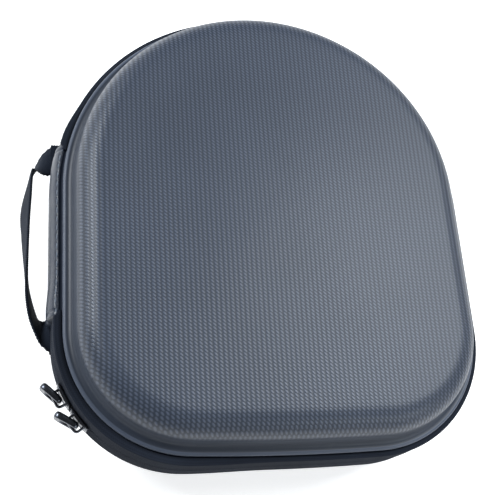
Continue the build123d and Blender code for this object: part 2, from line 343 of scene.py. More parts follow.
# ---- materials
def connect(tree, node, inputs):
    """Gives each input of a node a value or a link."""
    for name, value in inputs.items():
        if isinstance(value, bpy.types.NodeSocket):
            tree.links.new(value, node.inputs[name])
        else:
            node.inputs[name].default_value = value


def add_node(tree, kind, inputs, output=0, **settings):
    """Adds a shader node with its settings, values and links, and gives back one of its outputs."""
    node = tree.nodes.new("ShaderNode" + kind)
    for name, value in settings.items():
        setattr(node, name, value)
    connect(tree, node, inputs)
    return node.outputs[output]


def surface(tree, base, roughness, inputs):
    """Sets the surface shader: base colour and roughness, then its other inputs, by value or by link."""
    shader = tree.nodes["Principled BSDF"]
    connect(tree, shader, {"Base Color": (*base, 1), "Roughness": roughness})
    connect(tree, shader, inputs)


def finish(paint):
    """The material that a painter makes, named for it and made once."""
    material = bpy.data.materials.get(paint.__name__)
    if not material:
        material = bpy.data.materials.new(paint.__name__)
        material.use_nodes = True
        paint(material.node_tree, bpy.context.scene.case_colours)
    return material


def in_cells(tree, place, pitch_x, pitch_y):
    """Where a point lies in its own cell of a grid, from -0.5 to 0.5 each way."""
    cells = add_node(tree, "VectorMath", {0: place, 1: (1 / pitch_x, 1 / pitch_y, 0)}, operation="MULTIPLY")
    inside = add_node(tree, "VectorMath", {0: cells}, operation="FRACTION")
    return add_node(tree, "VectorMath", {0: inside, 1: (0.5, 0.5, 0)}, operation="SUBTRACT")


def mottled(tree, base, value, low, high, start=0.3, end=0.7):
    """A colour made darker or lighter, scaled from low to high as a value goes from start to end."""
    shade = add_node(tree, "MapRange", {"Value": value, "From Min": start, "From Max": end,
                                        "To Min": low, "To Max": high})
    return add_node(tree, "VectorMath", {0: base, "Scale": shade}, operation="SCALE")


def embossed_polyurethane(tree, colours):
    """Polyurethane-coated polyester, embossed by a roller before moulding: rows of small slanted dashes,
    glossier on top than in the hollows, fading out where the mould stretched the skin smooth. The hollows and
    the smooth skin are painted darker as shade, and the lip is painted paler as a highlight. The emboss
    attribute is 1 for full dashes, 0 for smooth skin and below 0 for the lip's painted highlight."""
    pitch_across, pitch_along = 2.25 * MM, 1.72 * MM
    dash_long, dash_wide, slant = 1.3 * MM, 0.56 * MM, radians(-42)
    # Smooth skin takes this low level, which paints the walls and the hollow by the lip dark as painted
    # shade.
    smooth_shade_level = 0.08
    place = add_node(tree, "TexCoord", {}, "Object")
    centred = in_cells(tree, place, pitch_across, pitch_along)
    sized = add_node(tree, "VectorMath", {0: centred, 1: (pitch_across, pitch_along, 0)},
                     operation="MULTIPLY")
    turned = add_node(tree, "VectorRotate", {"Vector": sized, "Angle": slant}, rotation_type="Z_AXIS")
    squeezed = add_node(tree, "VectorMath", {0: turned, 1: (1 / dash_wide, 1 / dash_long, 0)},
                        operation="MULTIPLY")
    away = add_node(tree, "VectorMath", {0: squeezed}, "Value", operation="LENGTH")
    dash = add_node(tree, "MapRange", {"Value": away, "From Min": 1.25, "From Max": 0.3},
                    interpolation_type="SMOOTHSTEP")
    emboss_shade_and_highlight_weight = add_node(tree, "Attribute", {}, "Fac", attribute_name="emboss")
    emboss = add_node(tree, "Math", {0: emboss_shade_and_highlight_weight, 1: 0.0}, operation="MAXIMUM")
    # A weight below 0 lifts the lip towards the pale dash colour: a painted highlight along the lip bead.
    lip_highlight = add_node(tree, "Math", {0: emboss_shade_and_highlight_weight, 1: 0.0}, operation="MINIMUM")
    rise = add_node(tree, "Math", {0: dash, 1: smooth_shade_level}, operation="SUBTRACT")
    level = add_node(tree, "Math", {0: rise, 1: emboss, 2: smooth_shade_level}, operation="MULTIPLY_ADD")
    highlighted_level = add_node(tree, "Math", {0: level, 1: lip_highlight}, operation="SUBTRACT")
    # Painted shade and highlight: hollows and smooth skin lean to the dark colour, dash tops and the lip to
    # the pale one.
    tone = add_node(tree, "Mix", {0: highlighted_level, 6: (*colours.skin_gap, 1), 7: (*colours.skin, 1)}, 2,
                    data_type="RGBA")
    cover = add_node(tree, "TexNoise", {"Vector": place, "Scale": 14.0, "Detail": 2.0})
    rough = add_node(tree, "MapRange", {"Value": level, "To Min": 0.46, "To Max": 0.39})
    grain = add_node(tree, "TexNoise", {"Vector": place, "Scale": 1100.0, "Detail": 3.0})
    fine = add_node(tree, "Bump", {"Height": grain, "Distance": 0.02 * MM, "Strength": 0.5})
    raised = add_node(tree, "Bump", {"Height": level, "Distance": 0.12 * MM, "Strength": 0.7, "Normal": fine})
    surface(tree, colours.skin, 0.5, {"Specular IOR Level": 0.38, "Roughness": rough, "Normal": raised,
                                      "Base Color": mottled(tree, tone, cover, 0.93, 1.07)})


def pebbled_leatherette(tree, colours):
    """Polyurethane leatherette, calendered with a fine pebble grain: a soft sheen over small cells and the
    slow waves of a skin drawn over foam."""
    cell_size = 0.55 * MM
    place = add_node(tree, "TexCoord", {}, "Object")
    cells = add_node(tree, "TexVoronoi", {"Vector": place, "Scale": 1 / cell_size}, feature="SMOOTH_F1")
    waves = add_node(tree, "TexNoise", {"Vector": place, "Scale": 60.0, "Detail": 2.0})
    patches = add_node(tree, "TexNoise", {"Vector": place, "Scale": 180.0, "Detail": 3.0})
    rough = add_node(tree, "MapRange", {"Value": patches, "From Min": 0.3, "From Max": 0.7,
                                        "To Min": 0.3, "To Max": 0.45})
    slow = add_node(tree, "Bump", {"Height": waves, "Distance": 0.6 * MM, "Strength": 0.5})
    pebble = add_node(tree, "Bump", {"Height": cells, "Distance": 0.08 * MM, "Strength": 0.6, "Normal": slow})
    surface(tree, colours.leatherette, 0.36,
            {"Specular IOR Level": 0.35, "Coat Weight": 0.05, "Coat Roughness": 0.3, "Roughness": rough,
             "Normal": pebble, "Base Color": mottled(tree, tuple(colours.leatherette), patches, 0.92, 1.08)})


def woven(tree, base, pitch_u, pitch_v, depth, rough=0.85, contrast=0.35, slant=0.0):
    """Woven polyester or nylon, on the piece's own map: threads cross as small raised humps, with matt
    fibres that catch a pale sheen at a low angle. slant leans the rows, as a twill does. The colour is
    painted darker where the weave lies low, as shade between the humps, with random fuzz of the fibres."""
    uv = add_node(tree, "UVMap", {}, uv_map="surface")
    parts = add_node(tree, "SeparateXYZ", {"Vector": uv}).node.outputs
    leaned = add_node(tree, "Math", {0: parts["Y"], 1: slant, 2: parts["X"]}, operation="MULTIPLY_ADD")
    waves = []
    for way, pitch in ((leaned, pitch_u), (parts["Y"], pitch_v)):
        turn = add_node(tree, "Math", {0: way, 1: 2 * pi / pitch}, operation="MULTIPLY")
        waves.append(add_node(tree, "Math", {0: turn}, operation="SINE"))
    crossed = add_node(tree, "Math", {0: waves[0], 1: waves[1]}, operation="MULTIPLY")
    ribbed = add_node(tree, "Math", {0: waves[1], 1: 0.6, 2: crossed}, operation="MULTIPLY_ADD")
    height = add_node(tree, "MapRange", {"Value": ribbed, "From Min": -1.4, "From Max": 1.4})
    place = add_node(tree, "TexCoord", {}, "Object")
    fuzz = add_node(tree, "TexNoise", {"Vector": place, "Scale": 1400.0, "Detail": 3.0})
    wear = add_node(tree, "TexNoise", {"Vector": place, "Scale": 45.0, "Detail": 3.0})
    mixed = add_node(tree, "Math", {0: fuzz, 1: 0.5, 2: height}, operation="MULTIPLY_ADD")
    # Painted shade: the colour is darker where the weave lies low and lighter on the humps, with the fibres'
    # fuzz at random.
    shaded = mottled(tree, tuple(base), mixed, 1 - contrast, 1 + contrast, 0.1, 1.3)
    bump = add_node(tree, "Bump", {"Height": mixed, "Distance": depth, "Strength": 0.8})
    surface(tree, base, rough, {"Specular IOR Level": 0.12, "Sheen Weight": 0.04, "Sheen Roughness": 0.45,
                                "Normal": bump, "Base Color": mottled(tree, shaded, wear, 0.9, 1.1)})


def herringbone_zip_tape(tree, colours):
    """Fine polyester tape of a coil zip."""
    woven(tree, colours.tape, 1.1 * MM, 0.9 * MM, 0.1 * MM)


def polyester_webbing(tree, colours):
    """Thick webbing with a leaning twill face."""
    woven(tree, colours.webbing, 1.3 * MM, 1.0 * MM, 0.2 * MM, contrast=0.45, slant=0.6)


def grosgrain_binding(tree, colours):
    """Grosgrain: ribs straight across the tape, so the second pitch is wider than the tape."""
    woven(tree, colours.binding, 0.9 * MM, 40 * MM, 0.12 * MM)


def spun_thread(tree, colours):
    """Twisted polyester sewing thread."""
    woven(tree, colours.thread, 0.5 * MM, 0.5 * MM, 0.05 * MM, rough=0.6)


def brushed_velour(tree, colours):
    """Short brushed velour: matt and soft, its pile lying in slightly lighter and darker patches."""
    place = add_node(tree, "TexCoord", {}, "Object")
    pile = add_node(tree, "TexNoise", {"Vector": place, "Scale": 900.0, "Detail": 4.0})
    nap = add_node(tree, "TexNoise", {"Vector": place, "Scale": 28.0, "Detail": 4.0, "Distortion": 1.2})
    blend = add_node(tree, "Math", {0: pile, 1: 0.45, 2: nap}, operation="MULTIPLY_ADD")
    bump = add_node(tree, "Bump", {"Height": pile, "Distance": 0.15 * MM, "Strength": 0.7})
    tone = mottled(tree, tuple(colours.velour), blend, 0.75, 1.3, 0.4, 1.1)
    surface(tree, colours.velour, 0.95, {"Sheen Weight": 0.6, "Sheen Roughness": 0.35, "Base Color": tone,
                                         "Normal": bump})


def nylon_monofilament(tree, colours):
    """Drawn nylon monofilament: smooth, with a plastic gloss broken by fine draw marks."""
    place = add_node(tree, "TexCoord", {}, "Object")
    marks = add_node(tree, "TexNoise", {"Vector": place, "Scale": 700.0, "Detail": 2.0})
    rough = add_node(tree, "MapRange", {"Value": marks, "To Min": 0.25, "To Max": 0.5})
    tone = mottled(tree, tuple(colours.coil), marks, 0.8, 1.3, 0, 1)
    surface(tree, colours.coil, 0.35, {"IOR": 1.53, "Roughness": rough, "Base Color": tone})


def dark_nickel_plate(tree, colours):
    """Die-cast zinc with dark nickel plating: mirror-like, softened by tumbling marks and handling."""
    place = add_node(tree, "TexCoord", {}, "Object")
    tumble = add_node(tree, "TexNoise", {"Vector": place, "Scale": 500.0, "Detail": 4.0})
    handling = add_node(tree, "TexNoise", {"Vector": place, "Scale": 120.0, "Detail": 3.0, "Distortion": 0.8})
    rough = add_node(tree, "MapRange", {"Value": handling, "From Min": 0.3, "From Max": 0.7,
                                        "To Min": 0.16, "To Max": 0.36})
    bump = add_node(tree, "Bump", {"Height": tumble, "Distance": 0.03 * MM, "Strength": 0.4})
    tone = mottled(tree, tuple(colours.metal), handling, 0.85, 1.1)
    surface(tree, colours.metal, 0.24, {"Metallic": 1.0, "Roughness": rough, "Base Color": tone,
                                        "Normal": bump})


def knitted_net(tree, colours):
    """Warp-knitted polyester net: rows of small oval holes between glossy threads, the holes painted near
    black: the dark lining seen through them, darkened further as painted shade.
    """
    pitch = 2.6 * MM
    place = add_node(tree, "TexCoord", {}, "Object")
    turned = add_node(tree, "VectorRotate", {"Vector": place, "Angle": pi / 4}, rotation_type="Z_AXIS")
    centred = in_cells(tree, turned, pitch, pitch)
    away = add_node(tree, "VectorMath", {0: centred}, "Value", operation="LENGTH")
    thread = add_node(tree, "MapRange", {"Value": away, "From Min": 0.27, "From Max": 0.4},
                      interpolation_type="SMOOTHSTEP")
    # Painted shade: the holes are near black, for the lining seen through them in the net's shade.
    hole_shade, lit = ((*(c * share for c in colours.net), 1) for share in (0.12, 1.7))
    tone = add_node(tree, "Mix", {0: thread, 6: hole_shade, 7: lit}, 2, data_type="RGBA")
    bump = add_node(tree, "Bump", {"Height": thread, "Distance": 0.3 * MM, "Strength": 0.9})
    surface(tree, colours.net, 0.55, {"Sheen Weight": 0.3, "Base Color": tone, "Normal": bump})


def backlit_paper(tree, colours):
    """The floor's white paper, lit a little from behind so that it stays evenly pale."""
    surface(tree, colours.floor, 0.9, {"Emission Color": (1, 1, 1, 1), "Emission Strength": 0.62})


# ---- shells and linings
def dome(foot, height, crown, rise, draft, start):
    """From the foot of a wall, at offset foot and height start, over the crown to the middle of the top:
    (offset, height, share inward, emboss). A low emboss also paints the smooth skin darker, as painted shade."""
    slope = tan(draft)
    centre = (foot - slope * (height - crown) - crown / cos(draft), height - crown)
    top_of_wall = centre[1] + crown * sin(draft)
    points = []
    for t in spread(0, 1, 5)[:-1]:
        z = start + (top_of_wall - start) * t
        hollow = 0.35 * MM * sin(pi * t)
        points.append((foot - slope * z - hollow, z, 0, 0.35 * t ** 2))
    for angle in spread(degrees(draft), 90, 14):
        (offset, z), _ = arc(centre, crown, angle, angle, 1)
        points.append((offset, z, 0, 0.35 + 0.65 * smooth(4, 26, angle)))
    for t in spread(0, 1, 18)[1:]:
        points.append((centre[0], height + rise * (1 - cos(pi * t)) / 2, t, 1))
    return points


def shell_rows(half, points, route, stations):
    return [[route.point(s, offset, half.z(z), inward) for offset, z, inward, _ in points] for s in stations]


def build_skins():
    sizes = bpy.context.scene.case_sizes
    route, r = outline(), sizes.lip_bead
    draft, foot, root = sizes.draft, -sizes.lip_width, sizes.root_radius
    stations = along(0, route.total, 2.5 * MM)[:-1]
    for half in halves():
        root_z = 2 * r + root
        tangent_z = root_z - root * sin(draft)
        root_x = foot - tan(draft) * tangent_z + root * cos(draft)
        inner_foot = foot - sizes.wall
        inside = dome(inner_foot, half.height - sizes.wall, sizes.crown_radius - sizes.wall, half.rise,
                      draft, 0)
        # The lip's weight of -0.9 paints it paler, a painted highlight along the bead.
        lip = [(x, z, 0, -0.9) for x, z in arc((-r, r), r, -90, 90, 12)]
        # The hollow's weight of 0 paints it in the dark smooth-skin colour, as painted shade.
        hollow = [(x, z, 0, 0) for x, z in arc((root_x, root_z), root, 270, 180 + degrees(draft), 8)]
        outside = dome(foot, half.height, sizes.crown_radius, half.rise, draft, tangent_z)
        points = inside[::-1] + lip + hollow + outside[1:]
        bm = loft(shell_rows(half, points, route, stations), closed_path=True, emboss_shade_and_highlight_weights=[p[3] for p in points])
        piece(f"{half.name}_skin", bm, half.name, embossed_polyurethane, [f"{half.name}_shell"])


def build_linings():
    sizes = bpy.context.scene.case_sizes
    route = outline()
    stations = along(0, route.total, 4 * MM)[:-1]
    for half in halves():
        outer_foot = -sizes.lip_width - sizes.wall - 0.2 * MM
        shapes = []
        for gap in (0, sizes.lining):
            behind = sizes.wall + 0.2 * MM + gap
            shapes.append(dome(outer_foot - gap, half.height - behind, sizes.crown_radius - behind, half.rise,
                               sizes.draft, 0.05 * MM))
        points = shapes[1][::-1] + shapes[0]
        bm = loft(shell_rows(half, points, route, stations), closed_path=True)
        piece(f"{half.name}_velour", bm, half.name, brushed_velour, [f"{half.name}_lining"])


# ---- zip
def tape_span(route, clearance):
    """The stretch of the outline that the tape covers, all but the spine, counted past the start."""
    front, rear = spine_ends()
    return route.left(front + clearance), route.total + route.left(rear - clearance)


def spine_ends():
    """Where the sewn spine ends, at the front and at the rear."""
    shift = bpy.context.scene.case_sizes.spine_shift
    return spine_front - shift, spine_rear - shift


def band_stand(route, s):
    """How far the band stands out at a place: further beside the spine and as far round as the sliders,
    where the stiff ends of the zip push it out, and drawn in where the spine lies over it."""
    sizes = bpy.context.scene.case_sizes
    front, rear = tape_span(route, 0)
    slider_reach, rear_reach, hem = 95 * MM, 26 * MM, 1.6 * MM
    bulge = 1 - smooth(front + slider_reach, front + slider_reach + 45 * MM, s)
    bulge = max(bulge, smooth(rear - rear_reach, rear - 4 * MM, s))
    under = min(s - front, rear - s)
    drawn_in = 1.5 * MM * (1 - smooth(-hem, 0.2 * MM, under))
    return sizes.band_proud + sizes.band_bulge * bulge - drawn_in


def tape_profile(depth, proud, rib_pitch):
    """The tape's section at one place, as (offset, depth below the lip): from under the lip, down into a
    narrow groove, over a flat top and a rounded fold, then down the ribbed face to the seam."""
    thick, fold, top = 1.0 * MM, 0.8 * MM, -0.2 * MM
    low = depth - 0.35 * MM
    groove = [(-5.7, 0.35), (-1.6, 0.25), (-0.8, 0.15), (-0.3, 0.55), (0.05, 0.3), (0.3, -0.15)]
    outer = [(x * MM, z * MM) for x, z in groove] + [((proud - fold + 0.3 * MM) / 2, top)]
    outer += [(x, -z) for x, z in arc((proud - fold, -top - fold), fold, 90, 0, 6)]
    first = top + fold
    for z in along(first, low - 1.5 * MM, rib_pitch / 6)[1:]:
        swell = 0.11 * MM * cos(2 * pi * (z - first) / rib_pitch)
        outer.append((proud - 0.11 * MM + swell, z))
    outer += [(proud - 0.25 * MM, low - 1.25 * MM), (proud + 0.12 * MM, low - 0.8 * MM),
              (proud + 0.1 * MM, low - 0.3 * MM), (proud - 0.3 * MM, low)]
    inner = [(proud - thick, low), (proud - thick, first + thick), (proud - thick - 0.5 * MM, 2.6 * MM),
             (0.4 * MM, 2.3 * MM), (-0.9 * MM, 1.7 * MM), (-5.7 * MM, 1.35 * MM)]
    return outer + inner


def build_tapes():
    sizes = bpy.context.scene.case_sizes
    route, depth = outline(), (lid_lip - base_lip) / 2
    start, end = tape_span(route, 3 * MM)
    stations = along(start, start + 12 * MM, 0.5 * MM) + along(start + 12 * MM, end - 12 * MM, 2.4 * MM)[1:]
    stations += along(end - 12 * MM, end, 0.5 * MM)[1:]
    profiles = [tape_profile(depth, band_stand(route, s), sizes.rib_pitch) for s in stations]
    for half in halves():
        rows = [[route.point(s, x, half.z(-z)) for x, z in profile] for s, profile in zip(stations, profiles)]
        bm = loft(rows, closed_rows=True)
        piece(f"{half.name}_tape", bm, half.name, herringbone_zip_tape,
              [f"{half.name}_zip_tape"], 60)


def build_coils():
    """Each coil is one monofilament wound along the tape's inner edge."""
    sizes = bpy.context.scene.case_sizes
    route = outline()
    start, end = tape_span(route, -1 * MM)
    turns = floor((end - start) / sizes.coil_pitch)
    across, tall, wire = 1.0 * MM, 0.95 * MM, 0.34 * MM
    for half in halves():
        low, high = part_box(f"{half.name}_zip_coil")
        middle_z = (low.z + high.z) / 2 + half.sign * -0.25 * MM
        offset = 0.85 * MM
        rows = []
        for i in range(turns * 8 + 1):
            angle = 2 * pi * i / 8
            s = start + (i / 8 + (0.5 if half.sign < 0 else 0)) * sizes.coil_pitch
            centre = route.point(s, offset + across * cos(angle), middle_z + tall * sin(angle))
            outwards = (centre - route.point(s, offset, middle_z)).normalized()
            _, out = route.place(s)
            run = Vector((-out.y, out.x, 0))
            rows.append([centre + (outwards * cos(t) + run * sin(t)) * wire
                         for t in (0, pi / 2, pi, 3 * pi / 2)])
        bm = loft(rows, closed_rows=True)
        piece(f"{half.name}_coil", bm, half.name, nylon_monofilament,
              [f"{half.name}_zip_coil"], 100)


def build_bindings():
    """Folded grosgrain over the raw edges round the inside, with its two rows of stitches sunk into it."""
    route = outline()
    stations = along(0, route.total, 3 * MM)[:-1]
    centre, half_wide, half_tall = -7.5 * MM, 1.5 * MM, 1.55 * MM
    for half in halves():
        middle = -0.3 * MM - half_tall
        profile = []
        for t in spread(0, 2 * pi, 20)[:-1]:
            pinch = 1 - 0.1 * exp(-(cos(t) / 0.25) ** 2)
            profile.append((centre + half_wide * squared(cos(t), 0.6),
                            middle + half_tall * pinch * squared(sin(t), 0.6)))
        rows = [[route.point(s, x, half.z(z)) for x, z in profile] for s in stations]
        bm = loft(rows, closed_rows=True, closed_path=True)
        piece(f"{half.name}_binding", bm, half.name, grosgrain_binding,
              [f"{half.name}_edge_binding"], 70)
        stitches = []
        for s in along(0, route.total, 5 * MM)[:-1]:
            _, out = route.place(s)
            tangent = Vector((-out.y, out.x, 0))
            at = route.point(s, centre, half.z(middle - half_tall * 0.93))
            placed = frame_at(at, tangent, Vector((out.x, out.y, 0)))
            stitches.append(bead(3 * MM, 0.6 * MM, 0.45 * MM, placed))
        piece(f"{half.name}_binding_stitches", join(stitches), half.name, spun_thread)


# ---- spine
def spine_section():
    """One half of the spine's section, from the fold to the edge tucked under the lip: share of the way,
    offset and depth below the lip in millimetres. The padding swells outwards, then comes the stitched
    ridge and the groove beside the lip."""
    return [
        (0.00, 4.95, 12.5),
        (0.05, 5.35, 11.7),
        (0.22, 5.75, 9.0),
        (0.42, 5.45, 6.1),
        (0.58, 4.75, 3.7),
        (0.70, 3.75, 1.8),
        (0.77, 3.05, 0.95),
        (0.82, 2.55, 0.45),
        (0.87, 2.0, 0.25),
        (0.92, 1.35, 0.6),
        (0.95, 0.6, 1.15),
        (0.975, -0.4, 0.8),
        (1.00, -2.4, 0.35),
    ]


def spine_point(route, s, share):
    """A point on the spine's outer face: share -1 under the base's lip, 1 under the lid's lip."""
    sizes = bpy.context.scene.case_sizes
    at, _ = route.place(s)
    offset, depth = (value * MM for value in between(spine_section(), abs(share)))
    front, rear = spine_ends()
    ends = min(at.y - front, rear - at.y)
    raised = smooth(1.5 * MM, 3.5 * MM, offset)
    swell = 0.3 * MM * exp(-((ends - 9 * MM) / (6 * MM)) ** 2)
    swell += 0.8 * MM * (1 - smooth(0, 24 * MM, at.y - front))
    fold = -0.75 * MM * exp(-((ends - sizes.hem_width) / (0.4 * MM)) ** 2)
    tip = sqrt(max(0, 1 - max(0, 1 - ends / (1.1 * MM)) ** 2))
    offset += raised * (swell + fold - 1.3 * MM * (1 - tip))
    puckers = sin(2 * pi * at.y / sizes.stitch_pitch) * exp(-((abs(share) - 0.79) / 0.05) ** 2)
    offset += 0.1 * MM * puckers
    lip, sign = (lid_lip, -1) if share > 0 else (base_lip, 1)
    return route.point(s, offset, lip + sign * depth)


def build_spine():
    route = outline()
    end, start = (route.left(y) for y in spine_ends())
    shares = spread(-1, 1, 96)
    back = [(-2.4, 1.1), (0.5, 2.1), (1.6, 2.2), (2.9, 4.5), (3.3, 8.0), (3.3, 12.5)]
    rows = []
    for s in along(start, end, 0.5 * MM):
        face = [spine_point(route, s, k) for k in shares]
        under = [route.point(s, x * MM, lid_lip - z * MM) for x, z in back]
        under += [route.point(s, x * MM, base_lip + z * MM) for x, z in back[-2::-1]]
        rows.append(face + under)
    cover = piece("spine_cover", loft(rows, closed_rows=True), None, pebbled_leatherette,
                  ["spine_cover_base_half", "spine_cover_lid_half", "spine_padding_base_half",
                   "spine_padding_lid_half"], 65)
    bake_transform(cover)
    inside, tall = [], (lid_lip - base_lip) / 2 - 2.4 * MM
    for s in along(route.left(spine_rear - 2 * MM), route.left(spine_front + 2 * MM), 1.5 * MM):
        face = [route.point(s, 2.05 * MM, seam + tall * k) for k in spread(-1, 1, 16)]
        behind = [route.point(s, 1.25 * MM, seam + tall * k) for k in spread(1, -1, 16)]
        inside.append(face + behind)
    lining = piece("spine_lining", loft(inside, closed_rows=True), None, brushed_velour,
                   ["spine_lining_base_half", "spine_lining_lid_half"])
    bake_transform(lining)
    build_spine_stitches(route)


def build_spine_stitches(route):
    """Lock stitches sunk in the ridge along each long edge of the spine."""
    sizes = bpy.context.scene.case_sizes
    for name, sign in (("base", -1), ("lid", 1)):
        stitches = []
        for y in along(spine_ends()[0] + 3 * MM, spine_ends()[1] - 3 * MM, sizes.stitch_pitch):
            s = route.left(y)
            _, out = route.place(s)
            at = spine_point(route, s, 0.81 * sign)
            tangent = Vector((-out.y, out.x, 0.06))
            outwards = Vector((out.x, out.y, 1.2 * sign)).normalized()
            across = outwards.cross(tangent)
            stitches.append(bead(3.3 * MM, 0.7 * MM, 0.45 * MM, frame_at(at, tangent, across)))
        piece(f"spine_thread_{name}", join(stitches), name, spun_thread, [f"spine_stitches_{name}"])


# ---- handle
def strap_stations():
    """Sections along the webbing, from its rear end to its front one: share of the way, stand-off and drop
    as shares of the reach, the twist from lying flat to standing on edge, and the lean of its lower edge."""
    return [
        (0.00, -0.12, 0.00, 0, 0),
        (0.03, 0.36, 0.05, 30, 0),
        (0.075, 0.80, 0.27, 84, 3),
        (0.26, 1.02, 0.27, 90, 13),
        (0.40, 1.03, 0.27, 90, 9),
        (0.68, 0.94, 0.31, 90, -2),
        (0.79, 0.82, 0.36, 88, -11),
        (0.89, 0.62, 0.42, 74, -14),
        (0.97, 0.30, 0.22, 36, -8),
        (1.00, -0.12, 0.00, 0, 0),
    ]


def between(table, share):
    """A smooth value of every column of the table at a share of the way along it."""
    last = len(table) - 1
    i = max(k for k in range(last) if table[k][0] <= share) if share < 1 else last - 1
    before, here, there, after = (table[min(max(k, 0), last)] for k in (i - 1, i, i + 1, i + 2))
    t = (share - here[0]) / (there[0] - here[0])
    values = []
    for a, b, c, d in zip(before[1:], here[1:], there[1:], after[1:]):
        rise_in, rise_out = (c - a) / 2, (d - b) / 2
        values.append((2 * t**3 - 3 * t**2 + 1) * b + (t**3 - 2 * t**2 + t) * rise_in
                      + (3 * t**2 - 2 * t**3) * c + (t**3 - t**2) * rise_out)
    return values


def rounded_strip(centre, cross, normal, half_wide, half_thick):
    """A ring of points round the webbing, with a bead of selvedge along each edge."""
    ring = []
    for k in spread(0, 2 * pi, 28)[:-1]:
        u = squared(cos(k), 0.45)
        v = squared(sin(k), 0.5)
        selvedge = 1 + 0.18 * exp(-((abs(u) - 0.9) / 0.07) ** 2)
        ring.append(centre + cross * (half_wide * u) + normal * (half_thick * v * selvedge))
    return ring


def build_handle():
    sizes = bpy.context.scene.case_sizes
    tabs = [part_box(f"handle_tab_{end}") for end in ("rear", "front")]
    rear, front = ((low.y + high.y) / 2 + sizes.strap_shift for low, high in tabs)
    reach = 11.3 * MM
    table = strap_stations()
    steps = 2 * round(1.25 * (rear - front) / sizes.pick_pitch)
    centres, crosses = [], []
    for share in spread(0, 1, steps):
        out, drop, twist, lean = between(table, share)
        centres.append(Vector((strap_pivot.x - out * reach, rear + share * (front - rear),
                               strap_pivot.z - drop * reach)))
        t, s = radians(twist), radians(lean)
        crosses.append(Vector((-sin(s) * sin(t), cos(t), -cos(s) * sin(t))).normalized())
    rows = []
    for i, (centre, cross) in enumerate(zip(centres, crosses)):
        run = centres[min(i + 1, steps)] - centres[max(i - 1, 0)]
        if i in (0, steps):
            run = Vector((1 if i else -1, 0, 0))
        half = sizes.strap_width / 2 + (0.4 * MM if i % 2 else -0.3 * MM)
        thick = sizes.strap_thickness / 2 + (0.07 * MM if i % 2 else -0.05 * MM)
        rows.append(rounded_strip(centre, cross, run.cross(cross).normalized(), half, thick))
    strap = piece("handle_webbing", loft(rows, closed_rows=True), "handle", polyester_webbing,
                  ["handle_strap"], 75)
    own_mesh(strap)
    route = outline()
    for end, y in (("rear", rear), ("front", front)):
        at, out = route.place(route.left(y))
        outer, inner = strap_pivot.x + 0.3 * MM, at.x + 2.5 * MM
        rows = []
        for i, x in enumerate(along(outer, inner, sizes.pick_pitch / 2)):
            half = sizes.strap_width / 2 + (0.3 * MM if i % 2 else -0.15 * MM)
            rows.append(rounded_strip(Vector((x, y, strap_pivot.z)), Vector((0, 1, 0)), Vector((0, 0, 1)),
                                      half, sizes.strap_thickness / 2))
        piece(f"handle_end_{end}", loft(rows, closed_rows=True), "base", polyester_webbing,
              [f"handle_tab_{end}"], 75)


# ---- sliders
def slider_axes(letter):
    """A slider's own frame: where its pull pivots, back along the band, up, and out of the band."""
    sizes = bpy.context.scene.case_sizes
    pivot = Vector(joints[f"pull_{letter}_turn"]["pos_m"])
    arm = pivot - corner_centre
    angle = atan2(arm.y, arm.x) - asin(sizes.pivot_setback / hypot(arm.x, arm.y))
    out = Vector((cos(angle), sin(angle), 0))
    back = Vector((sin(angle), -cos(angle), 0))
    return pivot, back, Vector((0, 0, 1)), out, angle


def beveled_copy(node, width):
    """A copy of a packed node with its facets merged and its edges broken, as a casting's are."""
    bm = bmesh.new()
    bm.from_mesh(frame["nodes"][node].data)
    bmesh.ops.remove_doubles(bm, verts=bm.verts, dist=1e-6)
    bmesh.ops.dissolve_limit(bm, angle_limit=radians(1), verts=bm.verts, edges=bm.edges)
    sharp = [edge for edge in bm.edges if len(edge.link_faces) == 2 and edge.calc_face_angle() > radians(35)]
    bmesh.ops.bevel(bm, geom=sharp, offset=width, offset_type="OFFSET", affect="EDGES", segments=2,
                    profile=0.5, material=-1, clamp_overlap=True)
    return bm


def slider_crown(letter):
    """The raised panel on a slider's outer plate: a rim round a shallow dish."""
    angle = slider_axes(letter)[-1]
    plate_face = 5.72 * MM
    radius = half_width + corner_centre.x + plate_face
    half_x, half_y = 5.3 * MM, 3.75 * MM
    steps = [(0.0, -0.2), (0.0, 0.12), (0.25, 0.38), (0.75, 0.42), (1.05, 0.3), (1.3, 0.14), (2.4, 0.12)]
    rows = []
    for inset, rise in steps:
        ring = []
        for t in spread(0, 2 * pi, 48)[:-1]:
            r = superellipse(half_x - inset * MM, half_y - inset * MM, 5, t)
            x, y = r * cos(t), r * sin(t)
            a = angle - x / radius
            reach = radius + rise * MM
            ring.append(Vector((corner_centre.x + reach * cos(a), corner_centre.y + reach * sin(a),
                                seam + y)))
        rows.append(ring)
    return loft(rows, closed_rows=True)


def arched_bridge(letter):
    """The bridge on a slider: a rounded bar that rises from the plate, runs along it and comes down."""
    pivot, back, up, out, _ = slider_axes(letter)
    sizes = bpy.context.scene.case_sizes
    foot = pivot + back * sizes.pivot_setback - out * 1.75 * MM
    half_span, rise, turn, bar, wide = 3.7 * MM, 3.7 * MM, 1.6 * MM, 0.62 * MM, 1.3 * MM
    path = [(-half_span, -0.4 * MM, 0), (-half_span, rise - turn, 0)]
    path += [(-half_span + turn - turn * cos(a), rise - turn + turn * sin(a), a)
             for a in spread(0, pi / 2, 6)[1:]]
    path += [(half_span - turn + turn * sin(a), rise - turn + turn * cos(a), pi / 2 + a)
             for a in spread(0, pi / 2, 6)]
    path += [(half_span, -0.4 * MM, pi)]
    rows = []
    for x, z, heading in path:
        across = -back * cos(heading) + out * sin(heading)
        centre = foot + back * x + out * z
        rows.append(oval_ring(centre, across, up, bar, wide, 3, 16))
    return loft(rows, closed_rows=True)


